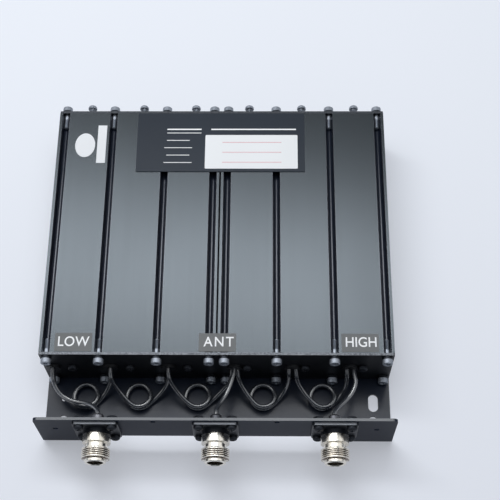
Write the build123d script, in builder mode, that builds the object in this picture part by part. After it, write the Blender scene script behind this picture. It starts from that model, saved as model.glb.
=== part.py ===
from build123d import *
from math import cos, pi, radians, sin, tan
import os

# Cavity duplexer, in millimetres. X runs across the body, +Y from the jacks to the tuning screws, +Z up.
# The origin is on the underside of the bracket, at the middle of the front end plate's outer face.

# Body
body_width = 200.0
body_height = 38.5
block_length = 158.0
block_gap = 0.8
end_plate = 1.5
sheet = 1.5

# Section of one three-cavity block
rib_shift = 0.3
edge_inset = 3.9
top_wall = 2.4
outer_wall = 1.5
rib = 2.0
groove_width = 4.6
groove_flare = 1.7
groove_lip = 0.3
port_width = 3.2
port_depth = 3.7
port_wall = 1.3
section_round = 0.8

# Cavities and what is inside them
cavities_per_block = 3
rod_diameter = 9.0
rod_gap = 17.0
rod_bore = 5.5
rod_bore_depth = 22.0
loop_wire = 1.5
loop_reach = 26.0
loop_wall_gap = 5.85
loop_bend = 3.0

# Fasteners
thread = 3.0
hole_clearance = 0.15
running_clearance = 0.05
cap_head = 5.9
cap_height = 3.0
cap_socket = 2.5
cap_socket_depth = 1.6
plate_screw_length = 12.0
washer_diameter = 6.2
washer_thickness = 1.3
washer_split = 0.7
pan_head = 5.6
pan_height = 2.4
pan_round = 1.6
cross_width = 0.9
cross_span = 3.2
cross_depth = 1.3
nut_flats = 5.5
nut_height = 2.4
rod_screw_length = 10.0
tuning_screw_length = 30.0
tuning_screw_stand = 13.4

# Bracket
flange_front = 38.5
flange_height = 41.2
bracket_rear = 156.0
bend_radius = 2.0
flange_corner = 3.0
relief_half_length = 66.0
relief_height = 12.4
relief_depth = 7.5
relief_corner = 3.0
foot_hole = 5.0
foot_hole_side = 10.0
foot_hole_front = 25.5
slot_side = 9.7
slot_front = 15.0
slot_width = 5.7
slot_length = 10.6
pilot_hole = 3.0
pilot_side = 9.8
pilot_front = 13.0
cover_hole = 3.0
cover_side_side = 10.5
cover_side_z = 25.5
cover_top_x = 34.0
cover_top_z = 38.2
bracket_screw_rows = (20.0, 138.0)
bracket_screw_length = 3.6
sink_head = 5.6

# Coaxial jacks
jack_pitch = 66.0
jack_height = 26.0
jack_plate = 25.4
jack_plate_thickness = 1.6
jack_plate_corner = 2.0
jack_hole_pitch = 18.26
jack_barrel = 15.7
jack_barrel_end = 8.9
jack_neck = 12.4
jack_thread = 15.88
jack_thread_start = 12.2
jack_thread_end = 17.7
jack_nose_groove = 0.5
jack_nose_groove_diameter = 11.0
jack_nose = 12.0
jack_end = 19.9
jack_edge = 0.4
jack_bore = 8.9
jack_bore_floor = 10.5
jack_spigot = 10.8
jack_spigot_clearance = 0.2
jack_spigot_end = 3.6
jack_tail = 4.4
jack_tail_end = 6.0
jack_tail_bore = 2.2
insulator = 7.2
insulator_rear = 2.4
insulator_collar = 1.2
contact = 3.0
contact_tip = 15.0
contact_bore = 1.65
contact_bore_depth = 6.0
contact_slit = 0.4
contact_pin = 1.6
jack_fit = 0.05
jack_screw_length = 6.0
ferrule = 6.4
ferrule_length = 4.6
ferrule_round = 1.5

# Coaxial leads and the bushings that they enter
cable = 2.5
cable_fit = 0.05
bushing_flange = 8.6
bushing_flange_thickness = 1.6
bushing_sleeve = 7.6
bushing_fit = 0.05
stack_offset = 1.6
side_offset = 2.0
trio_radius = 1.8
loop_side_gap = 3.65
bushing_gap = 0.05
lead_straight = 3.6
lead_straight_upper = 5.4
lead_straight_lower = 2.6
ferrule_straight = 1.2
ring_radius = 6.9
ring_front = 12.5
ring_top = 7.9
ring_bottom = 3.15
ring_corners = 10
ring_step = 45.0
ring_first = 247.5
arc_share = 0.45

# Labels
nameplate_thickness = 0.5
nameplate_size = (102.4, 41.4)
nameplate_inset = 0.4
nameplate_corner = 0.8
port_label_thickness = 0.2
port_label_size = (23.8, 11.0)
port_label_side = 18.5
port_label_inset = 0.4
sticker_thickness = 0.15
oval_size = (12.2, 16.8)
oval_side = 17.0
oval_rear = 24.6
strip_size = (5.4, 26.6)
strip_side = 27.1
strip_rear = 23.8

# Places worked out from the sizes above
block_width = (body_width - block_gap) / 2
block_x = (block_gap + block_width) / 2
cavity_pitch = block_width / cavities_per_block
rib_offset = cavity_pitch / 2 - rib_shift
edge_offset = block_width / 2 - edge_inset
groove_offsets = (-edge_offset, -rib_offset, rib_offset, edge_offset)
body_top = sheet + body_height
mid_height = sheet + body_height / 2
body_length = block_length + 2 * end_plate
rear_face = body_length
rod_length = block_length - rod_gap
loop_drop = body_height / 2 - top_wall - loop_wall_gap
cavity_centres = [side * block_x + step * cavity_pitch for side in (-1, 1) for step in (-1, 0, 1)]
groove_places = [side * block_x + offset for side in (-1, 1) for offset in groove_offsets]
screw_heights = (sheet + port_depth, body_top - port_depth)
tap_offset_left = (cavity_pitch - rib - loop_wire) / 2 - loop_side_gap
tap_offset_right = (bushing_flange + pan_head) / 2 + bushing_gap
tap_offsets = [tap_offset_left] * cavities_per_block + [tap_offset_right] * cavities_per_block
tap_places = [centre - offset for centre, offset in zip(cavity_centres, tap_offsets)]
jack_places = (-jack_pitch, 0.0, jack_pitch)
jack_names = ("low", "antenna", "high")
jack_hole_places = [(x, z) for x in (-jack_hole_pitch / 2, jack_hole_pitch / 2)
                    for z in (-jack_hole_pitch / 2, jack_hole_pitch / 2)]
jack_bore_depth = jack_end - jack_bore_floor
screw_hole = thread + 2 * hole_clearance
running_hole = thread + 2 * running_clearance
foot_hole_x = body_width / 2 - foot_hole_side
slot_x = body_width / 2 - slot_side
pilot_x = body_width / 2 - pilot_side
cover_side_x = body_width / 2 - cover_side_side
port_label_x = body_width / 2 - port_label_side
oval_place = (oval_side - body_width / 2, rear_face - oval_rear)
strip_place = (strip_side - body_width / 2, rear_face - strip_rear)

forward = (0, -1, 0)
backward = (0, 1, 0)
across = (1, 0, 0)


def seat(x, y, z, outward=forward):
    """Place whose +Z points out of the face that a piece is fastened to."""
    return Plane(origin=(x, y, z), x_dir=across, z_dir=outward).location


def upright(y):
    """Plane across the body at one distance behind the front plate, drawn in X and Z."""
    return Plane.XZ.offset(-y)


def save(built, label):
    built.part.label = label
    export_step(built.part, f"parts/{label}.step")


os.makedirs("parts", exist_ok=True)


# Extruded three-cavity blocks
def port_outline():
    """One screw port, open at the top: bevelled lips, flared mouth, parallel walls, round floor."""
    half_mouth = groove_width / 2
    half_port = port_width / 2
    with BuildLine() as outline:
        Polyline((-half_port, -port_depth), (-half_port, -groove_flare),
                 (groove_lip - half_mouth, -groove_lip), (-half_mouth, 0), (half_mouth, 0),
                 (half_mouth - groove_lip, -groove_lip), (half_port, -groove_flare),
                 (half_port, -port_depth))
        ThreePointArc((half_port, -port_depth), (0, -port_depth - half_port), (-half_port, -port_depth))
    return outline.line


def cavity_sketch():
    """The three cavities of a block, with the screw ports' bosses left in their corners."""
    inner_height = body_height - 2 * top_wall
    boss_width = port_width + 2 * port_wall
    boss_height = port_depth + port_width / 2 + port_wall
    outer_face = block_width / 2 - outer_wall
    middle_half = rib_offset - rib / 2
    side_inner = rib_offset + rib / 2
    with BuildSketch() as cavities:
        Rectangle(2 * middle_half, inner_height)
        with Locations(((outer_face + side_inner) / 2, 0), (-(outer_face + side_inner) / 2, 0)):
            Rectangle(outer_face - side_inner, inner_height)
        for offset in groove_offsets:
            with Locations((offset, body_height / 2), (offset, -body_height / 2)):
                Rectangle(boss_width, 2 * boss_height, mode=Mode.SUBTRACT)
        fillet(cavities.vertices(), section_round)
    return cavities.sketch


def cavity_block(centre_x):
    with BuildPart() as block:
        with BuildSketch(upright(end_plate)):
            with Locations((centre_x, mid_height)):
                Rectangle(block_width, body_height)
                add(cavity_sketch(), mode=Mode.SUBTRACT)
            for offset in groove_offsets:
                for height, turn in ((body_top, 0), (sheet, 180)):
                    with BuildLine():
                        with Locations(Location((centre_x + offset, height), turn)):
                            add(port_outline())
                    make_face(mode=Mode.SUBTRACT)
        extrude(amount=-block_length)
        with Locations(*[(centre_x, row, sheet) for row in bracket_screw_rows]):
            Cylinder(screw_hole / 2, top_wall, align=(Align.CENTER, Align.CENTER, Align.MIN),
                     mode=Mode.SUBTRACT)
    return block


cavity_block_left = cavity_block(-block_x)
save(cavity_block_left, "cavity_block_left")
cavity_block_right = cavity_block(block_x)
save(cavity_block_right, "cavity_block_right")


# End plates
def end_plate_blank(first_face):
    with BuildPart() as blank:
        with BuildSketch(upright(first_face)):
            with Locations((0, mid_height)):
                RectangleRounded(body_width, body_height, section_round)
            with Locations(*[(x, z) for x in groove_places for z in screw_heights]):
                Circle(screw_hole / 2, mode=Mode.SUBTRACT)
        extrude(amount=-end_plate)
    return blank.part


with BuildPart() as front_end_plate:
    add(end_plate_blank(0))
    with BuildSketch(upright(0)):
        with Locations(*[(x, mid_height) for x in cavity_centres]):
            Circle(screw_hole / 2)
        with Locations(*[(x, mid_height) for x in tap_places]):
            Circle(bushing_sleeve / 2 + bushing_fit)
    extrude(amount=-end_plate, mode=Mode.SUBTRACT)
save(front_end_plate, "front_end_plate")

with BuildPart() as rear_end_plate:
    add(end_plate_blank(rear_face - end_plate))
    with BuildSketch(upright(rear_face - end_plate)):
        with Locations(*[(x, mid_height) for x in cavity_centres]):
            Circle(running_hole / 2)
    extrude(amount=-end_plate, mode=Mode.SUBTRACT)
save(rear_end_plate, "rear_end_plate")

# Mounting bracket, folded from one sheet
with BuildPart() as mounting_bracket:
    with BuildSketch(Plane.YZ.offset(-body_width / 2)):
        with BuildLine():
            FilletPolyline((bracket_rear, sheet / 2), (sheet / 2 - flange_front, sheet / 2),
                           (sheet / 2 - flange_front, flange_height), radius=bend_radius + sheet / 2)
        trace(line_width=sheet)
    extrude(amount=body_width)
    upper_edges = mounting_bracket.edges().filter_by(Axis.Y).filter_by_position(
        Axis.Z, flange_height - sheet / 2, flange_height + sheet / 2)
    fillet(upper_edges, flange_corner)
    with BuildSketch(upright(-flange_front)):
        with Locations((0, 0)):
            RectangleRounded(2 * relief_half_length, 2 * relief_height, relief_corner)
    extrude(amount=-relief_depth, mode=Mode.SUBTRACT)
    with BuildSketch(upright(-flange_front)):
        with Locations(*[(x, jack_height) for x in jack_places]):
            Circle(jack_spigot / 2 + jack_spigot_clearance)
        with Locations(*[(x + dx, jack_height + dz) for x in jack_places for dx, dz in jack_hole_places]):
            Circle(screw_hole / 2)
        with Locations((-cover_side_x, cover_side_z), (cover_side_x, cover_side_z),
                       (-cover_top_x, cover_top_z), (cover_top_x, cover_top_z)):
            Circle(cover_hole / 2)
    extrude(amount=-sheet, mode=Mode.SUBTRACT)
    with BuildSketch():
        with Locations((-foot_hole_x, -foot_hole_front), (foot_hole_x, -foot_hole_front)):
            Circle(foot_hole / 2)
        with Locations((-pilot_x, -pilot_front)):
            Circle(pilot_hole / 2)
        with Locations((slot_x, -slot_front)):
            SlotOverall(slot_length, slot_width, rotation=90)
    extrude(amount=sheet, mode=Mode.SUBTRACT)
    with Locations(*[Plane(origin=(x, row, 0), z_dir=(0, 0, -1)).location
                     for x in (-block_x, block_x) for row in bracket_screw_rows]):
        CounterSinkHole(screw_hole / 2, sink_head / 2 + hole_clearance, sheet)
save(mounting_bracket, "mounting_bracket")

# Cap screw, washer, pan-head screw and nut, each drawn once with its seat at Z = 0
with BuildPart() as cap_screw:
    Cylinder(cap_head / 2, cap_height, align=(Align.CENTER, Align.CENTER, Align.MIN))
    fillet(cap_screw.edges().sort_by(Axis.Z)[-1], section_round / 2)
    with BuildSketch(Plane.XY.offset(cap_height)):
        RegularPolygon(cap_socket / 2, 6, major_radius=False)
    extrude(amount=-cap_socket_depth, mode=Mode.SUBTRACT)
    with Locations((0, 0, 0)):
        Cylinder(thread / 2, plate_screw_length, align=(Align.CENTER, Align.CENTER, Align.MAX))

with BuildPart() as lock_washer:
    with BuildSketch():
        Circle(washer_diameter / 2)
        Circle(screw_hole / 2, mode=Mode.SUBTRACT)
        with Locations((washer_diameter / 2, 0)):
            Rectangle(washer_diameter, washer_split, mode=Mode.SUBTRACT)
    extrude(amount=washer_thickness)


def pan_screw(length):
    with BuildPart() as screw:
        Cylinder(pan_head / 2, pan_height, align=(Align.CENTER, Align.CENTER, Align.MIN))
        fillet(screw.edges().sort_by(Axis.Z)[-1], pan_round)
        with BuildSketch(Plane.XY.offset(pan_height)):
            Rectangle(cross_span, cross_width)
            Rectangle(cross_width, cross_span)
        extrude(amount=-cross_depth, mode=Mode.SUBTRACT)
        Cylinder(thread / 2, length, align=(Align.CENTER, Align.CENTER, Align.MAX))
    return screw.part


with BuildPart() as hex_nut:
    with BuildSketch():
        RegularPolygon(nut_flats / 2, 6, major_radius=False)
        Circle(running_hole / 2, mode=Mode.SUBTRACT)
    extrude(amount=nut_height)

# Screws and lock washers that close both ends of the blocks
plate_seats = [seat(x, 0, z) for x in groove_places for z in screw_heights]
plate_seats += [seat(x, rear_face, z, backward) for x in groove_places for z in screw_heights]

with BuildPart() as plate_washers:
    with Locations(*plate_seats):
        add(lock_washer.part)
save(plate_washers, "plate_washers")

with BuildPart() as plate_screws:
    with Locations(*[place * Location((0, 0, washer_thickness)) for place in plate_seats]):
        add(cap_screw.part)
save(plate_screws, "plate_screws")


# Resonators: a rod stood on the front plate in each cavity, with a bore that the tuning screw enters
def resonator_rod(centre_x):
    with BuildPart() as rod:
        with Locations(seat(centre_x, end_plate, mid_height, backward)):
            Cylinder(rod_diameter / 2, rod_length, align=(Align.CENTER, Align.CENTER, Align.MIN))
        with Locations(seat(centre_x, end_plate + rod_length, mid_height, backward)):
            Cylinder(rod_bore / 2, rod_bore_depth, align=(Align.CENTER, Align.CENTER, Align.MAX),
                     mode=Mode.SUBTRACT)
        with Locations(seat(centre_x, end_plate, mid_height, backward)):
            Cylinder(screw_hole / 2, rod_screw_length, align=(Align.CENTER, Align.CENTER, Align.MIN),
                     mode=Mode.SUBTRACT)
        chamfer(rod.faces().sort_by(Axis.Y)[-1].outer_wire().edges(), section_round)
    return rod


for number, centre in enumerate(cavity_centres, 1):
    save(resonator_rod(centre), f"resonator_rod_{number}")

with BuildPart() as resonator_screws:
    with Locations(*[seat(x, 0, mid_height) for x in cavity_centres]):
        add(pan_screw(rod_screw_length))
save(resonator_screws, "resonator_screws")

# Tuning screws with their lock nuts
tuning_screw_shape = pan_screw(tuning_screw_length)
for number, centre in enumerate(cavity_centres, 1):
    with BuildPart() as tuning_screw:
        with Locations(seat(centre, rear_face + tuning_screw_stand, mid_height, backward)):
            add(tuning_screw_shape)
    save(tuning_screw, f"tuning_screw_{number}")

with BuildPart() as tuning_lock_nuts:
    with Locations(*[seat(x, rear_face, mid_height, backward) for x in cavity_centres]):
        add(hex_nut.part)
save(tuning_lock_nuts, "tuning_lock_nuts")


# Coupling loops inside the cavities, from the bushing's rear end round to the front plate
def coupling_loop(tap_x):
    far = end_plate + loop_reach
    with BuildPart() as loop:
        with BuildLine():
            FilletPolyline((tap_x, end_plate, mid_height), (tap_x, far, mid_height),
                           (tap_x, far, mid_height - loop_drop), (tap_x, end_plate, mid_height - loop_drop),
                           radius=loop_bend)
        with BuildSketch(upright(end_plate)):
            with Locations((tap_x, mid_height)):
                Circle(loop_wire / 2)
        sweep()
    return loop


for number, tap in enumerate(tap_places, 1):
    save(coupling_loop(tap), f"coupling_loop_{number}")

# Bores of each bushing, as offsets in X and Z from its middle: upper and lower on the left block,
# side by side on the right, and three at the antenna tap
upper, lower = (0, stack_offset), (0, -stack_offset)
left, right = (-side_offset, 0), (side_offset, 0)
trio = [(trio_radius * cos(radians(angle)), trio_radius * sin(radians(angle))) for angle in (90, 210, 330)]
bushing_bores = ((upper, lower), (upper, lower), (upper, lower), trio, (left, right), (left, right))


def tap_bushing(tap_x, bores):
    with BuildPart() as bushing:
        with BuildSketch(upright(end_plate)):
            with Locations((tap_x, mid_height)):
                Circle(bushing_sleeve / 2)
        extrude(amount=end_plate)
        with BuildSketch(upright(0)):
            with Locations((tap_x, mid_height)):
                Circle(bushing_flange / 2)
        extrude(amount=bushing_flange_thickness)
        with BuildSketch(upright(end_plate)):
            with Locations(*[(tap_x + dx, mid_height + dz) for dx, dz in bores]):
                Circle(cable / 2 + cable_fit)
        extrude(amount=end_plate + bushing_flange_thickness, mode=Mode.SUBTRACT)
    return bushing


for number, (tap, bores) in enumerate(zip(tap_places, bushing_bores), 1):
    save(tap_bushing(tap, bores), f"tap_bushing_{number}")

# Jack shell, turned about its own axis with the flange's back face at Z = 0
with BuildPart() as jack_shell:
    with BuildSketch():
        RectangleRounded(jack_plate, jack_plate, jack_plate_corner)
        with Locations(*jack_hole_places):
            Circle(screw_hole / 2, mode=Mode.SUBTRACT)
    extrude(amount=jack_plate_thickness)
    with BuildSketch(Plane.XZ):
        with BuildLine():
            Polyline((0, -jack_tail_end), (jack_tail / 2, -jack_tail_end), (jack_tail / 2, -jack_spigot_end),
                     (jack_spigot / 2, -jack_spigot_end), (jack_spigot / 2, 0), (jack_barrel / 2, 0),
                     (jack_barrel / 2, jack_barrel_end), (jack_neck / 2, jack_barrel_end),
                     (jack_neck / 2, jack_thread_start - jack_edge),
                     (jack_thread / 2 - jack_edge, jack_thread_start - jack_edge),
                     (jack_thread / 2, jack_thread_start), (jack_thread / 2, jack_thread_end - jack_edge),
                     (jack_thread / 2 - jack_edge, jack_thread_end),
                     (jack_nose_groove_diameter / 2, jack_thread_end),
                     (jack_nose_groove_diameter / 2, jack_thread_end + jack_nose_groove),
                     (jack_nose / 2, jack_thread_end + jack_nose_groove),
                     (jack_nose / 2, jack_end - jack_edge), (jack_nose / 2 - jack_edge, jack_end),
                     (0, jack_end), close=True)
        make_face()
    revolve(axis=Axis.Z)
    with Locations((0, 0, jack_end)):
        Cylinder(jack_bore / 2, jack_bore_depth, align=(Align.CENTER, Align.CENTER, Align.MAX),
                 mode=Mode.SUBTRACT)
    with Locations((0, 0, -insulator_rear)):
        Cylinder(insulator / 2 + jack_fit, jack_end, align=(Align.CENTER, Align.CENTER, Align.MIN),
                 mode=Mode.SUBTRACT)
    with Locations((0, 0, -jack_tail_end)):
        Cylinder(jack_tail_bore / 2, jack_end, align=(Align.CENTER, Align.CENTER, Align.MIN),
                 mode=Mode.SUBTRACT)

with BuildPart() as jack_insulator:
    with Locations((0, 0, -insulator_rear)):
        Cylinder(insulator / 2, insulator_rear + jack_bore_floor,
                 align=(Align.CENTER, Align.CENTER, Align.MIN))
    with Locations((0, 0, jack_bore_floor)):
        Cylinder(jack_bore / 2 - jack_fit, insulator_collar, align=(Align.CENTER, Align.CENTER, Align.MIN))
    Cylinder(contact / 2 + jack_fit, 2 * jack_end, mode=Mode.SUBTRACT)

with BuildPart() as jack_contact:
    with Locations((0, 0, -insulator_rear)):
        Cylinder(contact / 2, insulator_rear + contact_tip, align=(Align.CENTER, Align.CENTER, Align.MIN))
        Cylinder(contact_pin / 2, jack_tail_end - insulator_rear,
                 align=(Align.CENTER, Align.CENTER, Align.MAX))
    with BuildSketch(Plane.XY.offset(contact_tip)):
        Circle(contact_bore / 2)
        Rectangle(contact, contact_slit)
        Rectangle(contact_slit, contact)
    extrude(amount=-contact_bore_depth, mode=Mode.SUBTRACT)

with BuildPart() as crimp_ferrule:
    with Locations((0, 0, -jack_spigot_end)):
        Cylinder(ferrule / 2, ferrule_length, align=(Align.CENTER, Align.CENTER, Align.MAX))
    fillet(crimp_ferrule.edges().sort_by(Axis.Z)[0], ferrule_round)
    with Locations((0, 0, -jack_spigot_end)):
        Cylinder(jack_tail / 2 + jack_fit, jack_tail_end - jack_spigot_end,
                 align=(Align.CENTER, Align.CENTER, Align.MAX), mode=Mode.SUBTRACT)
        Cylinder(cable / 2 + cable_fit, ferrule_length, align=(Align.CENTER, Align.CENTER, Align.MAX),
                 mode=Mode.SUBTRACT)

jack_pieces = (("jack_shell", jack_shell), ("jack_insulator", jack_insulator),
               ("jack_contact", jack_contact), ("crimp_ferrule", crimp_ferrule))
for place, name in zip(jack_places, jack_names):
    for piece_name, shape in jack_pieces:
        with BuildPart() as placed:
            with Locations(seat(place, -flange_front, jack_height)):
                add(shape.part)
        save(placed, f"{piece_name}_{name}")

jack_screw_places = [(x + dx, jack_height + dz) for x in jack_places for dx, dz in jack_hole_places]
with BuildPart() as jack_screws:
    with Locations(*[seat(x, -flange_front - jack_plate_thickness, z) for x, z in jack_screw_places]):
        add(pan_screw(jack_screw_length))
save(jack_screws, "jack_screws")

with BuildPart() as jack_nuts:
    with Locations(*[seat(x, sheet - flange_front, z, backward) for x, z in jack_screw_places]):
        add(hex_nut.part)
save(jack_nuts, "jack_nuts")

# Countersunk screws that hold the bracket under the blocks
with BuildPart() as sunk_screw:
    with Locations((0, 0, -(sink_head - thread) / 4)):
        Cone(thread / 2, sink_head / 2, (sink_head - thread) / 2)
    Cylinder(thread / 2, bracket_screw_length, align=(Align.CENTER, Align.CENTER, Align.MAX))

with BuildPart() as bracket_screws:
    with Locations(*[Plane(origin=(x, row, 0), z_dir=(0, 0, -1)).location
                     for x in (-block_x, block_x) for row in bracket_screw_rows]):
        add(sunk_screw.part)
save(bracket_screws, "bracket_screws")


# Coaxial leads. Each route starts and ends inside a bushing or a ferrule
def bore_point(tap, bore):
    dx, dz = bushing_bores[tap][bore]
    return tap_places[tap] + dx, mid_height + dz


def tap_run(tap, bore):
    """The two points of a lead's straight run through its bushing, from the inside out."""
    x, z = bore_point(tap, bore)
    straight = {upper: lead_straight_upper, lower: lead_straight_lower}
    return [(x, end_plate, z), (x, -straight.get(bushing_bores[tap][bore], lead_straight), z)]


def jack_run(place):
    """The two points of a lead's straight run into its ferrule, from the outside in."""
    tail = -flange_front + jack_tail_end
    mouth = -flange_front + jack_spigot_end + ferrule_length
    return [(place, mouth + ferrule_straight, jack_height), (place, tail, jack_height)]


def ring(centre_x):
    """Corners of a loop's one and a quarter turns, falling as they go."""
    corner_radius = ring_radius / cos(radians(ring_step / 2))
    corners = []
    for turn in range(ring_corners):
        angle = radians(ring_first + ring_step * turn)
        fall = (ring_top - ring_bottom) * turn / (ring_corners - 1)
        corners.append((centre_x + corner_radius * cos(angle),
                        corner_radius * sin(angle) - ring_front, ring_top - fall))
    return corners


def run_lead(name, route):
    """A round lead along straight runs joined by the largest arcs that they leave room for."""
    points = [Vector(*point) for point in route]
    radii = []
    turned = 0.0
    for before, here, after in zip(points, points[1:], points[2:]):
        turn = (here - before).get_angle(after - here)
        shorter = min((here - before).length, (after - here).length)
        radii.append(arc_share * shorter / tan(radians(turn / 2)))
        turned += turn
    with BuildPart() as lead:
        with BuildLine() as path:
            FilletPolyline(*points, radius=radii)
        with BuildSketch(Plane(origin=points[0], z_dir=points[1] - points[0])):
            Circle(cable / 2)
        sweep()
    length = sum(edge.length for edge in path.edges())
    ratio = lead.part.volume / (pi * (cable / 2) ** 2 * length)
    print(name, "length", round(length, 1), "volume ratio", round(ratio, 4),
          "least radius", round(min(radii), 2), "turned", round(turned))
    save(lead, name)


low_tap, tap_2, tap_3, antenna_tap, tap_5, high_tap = range(6)
low_jack, antenna_jack, high_jack = jack_places


def beside(place, points):
    """Route points given by their distance in X from a tap or a jack."""
    return [(place + dx, y, z) for dx, y, z in points]


def front_lead(name, tap, bore, near_tap, near_jack, place):
    """A lead from one bushing to one jack."""
    run_lead(name, tap_run(tap, bore) + beside(tap_places[tap], near_tap)
             + beside(place, near_jack) + jack_run(place))


def loop_lead(name, first, first_bore, outward, ring_place, inward, second, second_bore):
    """A lead from one bushing through its ring to the next bushing."""
    start, finish = tap_places[first], tap_places[second]
    run_lead(name, tap_run(first, first_bore) + beside(start, outward)
             + ring(start + ring_place * (finish - start)) + beside(finish, inward)
             + tap_run(second, second_bore)[::-1])


front_lead("coax_low_lead", low_tap, 0,
           [(1.0, -10.4, 17.6), (5.0, -15.6, 14.4), (12.3, -18.9, 14.3)],
           [(-10.0, -20.2, 16.0), (-5.4, -22.6, 19.4), (-1.9, -26.0, 23.4)], low_jack)
front_lead("coax_antenna_lead", antenna_tap, 0,
           [(-1.6, -9.0, 21.4), (-3.7, -15.0, 20.6)],
           [(2.6, -21.2, 21.6), (0.2, -25.6, 24.2)], antenna_jack)
front_lead("coax_high_lead", high_tap, 1,
           [(3.2, -8.6, 20.0), (1.0, -14.8, 19.8)],
           [(6.8, -20.4, 20.4), (2.2, -25.0, 23.0)], high_jack)

loop_lead("coax_loop_1", low_tap, 1, [(-0.3, -7.4, 12.6), (3.8, -14.2, 7.9)], 0.536,
          [(-8.0, -15.4, 3.1), (-2.8, -9.6, 7.6), (-0.1, -5.6, 13.0)], tap_2, 1)
loop_lead("coax_loop_2", tap_2, 0, [(1.1, -8.8, 18.0), (6.4, -14.0, 10.8)], 0.458,
          [(-10.4, -15.6, 3.1), (-3.4, -9.6, 7.6), (0.0, -5.6, 13.0)], tap_3, 1)
loop_lead("coax_loop_3", tap_3, 0, [(1.4, -8.8, 18.0), (6.7, -14.0, 10.8)], 0.427,
          [(-14.3, -15.6, 3.1), (-7.8, -10.6, 8.6), (-2.4, -7.2, 14.4)], antenna_tap, 1)
loop_lead("coax_loop_4", antenna_tap, 2, [(3.0, -7.6, 15.2), (7.8, -13.6, 9.6)], 0.488,
          [(-9.4, -15.6, 3.1), (-4.0, -9.8, 7.8), (-1.9, -6.2, 14.4)], tap_5, 0)
loop_lead("coax_loop_5", tap_5, 1, [(2.8, -7.6, 15.6), (8.4, -13.8, 9.6)], 0.53,
          [(-8.0, -15.6, 3.1), (-3.0, -9.8, 7.8), (-1.7, -6.2, 14.4)], high_tap, 0)


# Nameplate, port labels and stickers on the top face
def top_plate(name, outline, thickness):
    with BuildPart() as plate:
        with BuildSketch(Plane.XY.offset(body_top)):
            add(outline)
        extrude(amount=thickness)
    save(plate, name)


block_rear = rear_face - end_plate
with BuildSketch() as nameplate_outline:
    with Locations((0, block_rear - nameplate_inset - nameplate_size[1] / 2)):
        RectangleRounded(*nameplate_size, nameplate_corner)
top_plate("nameplate", nameplate_outline.sketch, nameplate_thickness)

with BuildSketch() as port_label_outline:
    label_y = end_plate + port_label_inset + port_label_size[1] / 2
    with Locations(*[(x, label_y) for x in (-port_label_x, 0, port_label_x)]):
        Rectangle(*port_label_size)
top_plate("port_labels", port_label_outline.sketch, port_label_thickness)

with BuildSketch() as oval_outline:
    with Locations(oval_place):
        Ellipse(oval_size[0] / 2, oval_size[1] / 2)
top_plate("oval_label", oval_outline.sketch, sticker_thickness)

with BuildSketch() as strip_outline:
    with Locations(strip_place):
        Rectangle(*strip_size)
top_plate("number_label", strip_outline.sketch, sticker_thickness)
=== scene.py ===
from math import cos, pi, radians, sin, sqrt

import bpy
from bpy.props import FloatProperty, FloatVectorProperty, IntProperty, PointerProperty, StringProperty
from bpy.types import Operator, Panel, PropertyGroup
from mathutils import Matrix, Vector


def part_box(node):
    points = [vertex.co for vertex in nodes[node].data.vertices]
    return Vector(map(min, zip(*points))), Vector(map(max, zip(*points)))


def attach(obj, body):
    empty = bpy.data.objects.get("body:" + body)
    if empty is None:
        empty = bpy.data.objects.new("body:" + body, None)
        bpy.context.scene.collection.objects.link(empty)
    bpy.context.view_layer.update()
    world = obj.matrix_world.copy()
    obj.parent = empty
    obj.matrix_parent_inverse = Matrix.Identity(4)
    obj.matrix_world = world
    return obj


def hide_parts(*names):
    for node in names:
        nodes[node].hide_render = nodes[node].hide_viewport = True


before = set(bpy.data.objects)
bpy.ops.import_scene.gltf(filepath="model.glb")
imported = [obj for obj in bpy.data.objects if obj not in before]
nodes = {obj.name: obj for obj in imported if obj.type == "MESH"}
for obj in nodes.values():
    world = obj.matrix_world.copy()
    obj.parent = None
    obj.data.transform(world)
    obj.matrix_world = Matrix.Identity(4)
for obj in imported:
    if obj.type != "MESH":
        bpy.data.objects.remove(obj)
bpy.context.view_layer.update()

bl_info = {
    "name": "Cavity Duplexer",
    "version": (1, 0, 0),
    "blender": (4, 5, 0),
    "location": "3D View > Sidebar > Duplexer",
    "description": "Dresses a cavity duplexer: anodised blocks, bracket, screws, jacks, leads and labels",
    "category": "Object",
}

HOUSING = "housing"
mm = 0.001
PORTS = ("low", "antenna", "high")
CAVITIES = range(1, 7)


def colour(name, text, value, size=3):
    return FloatVectorProperty(name=name, description=text, default=value, size=size, min=0, max=1,
                               subtype="COLOR")


def length(name, text, value):
    return FloatProperty(name=name, description=text, default=value, min=0, unit="LENGTH",
                         subtype="DISTANCE", precision=5)


def factor(name, text, value, high=1.0):
    return FloatProperty(name=name, description=text, default=value, min=0, max=high)


def location(name, text, value):
    return FloatVectorProperty(name=name, description=text, default=value, size=3, unit="LENGTH",
                               subtype="TRANSLATION")


def rotation(name, text, degrees):
    return FloatProperty(name=name, description=text, default=radians(degrees), subtype="ANGLE",
                         unit="ROTATION")


def power(name, text, value):
    return FloatProperty(name=name, description=text, default=value, min=0, unit="POWER")


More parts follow.
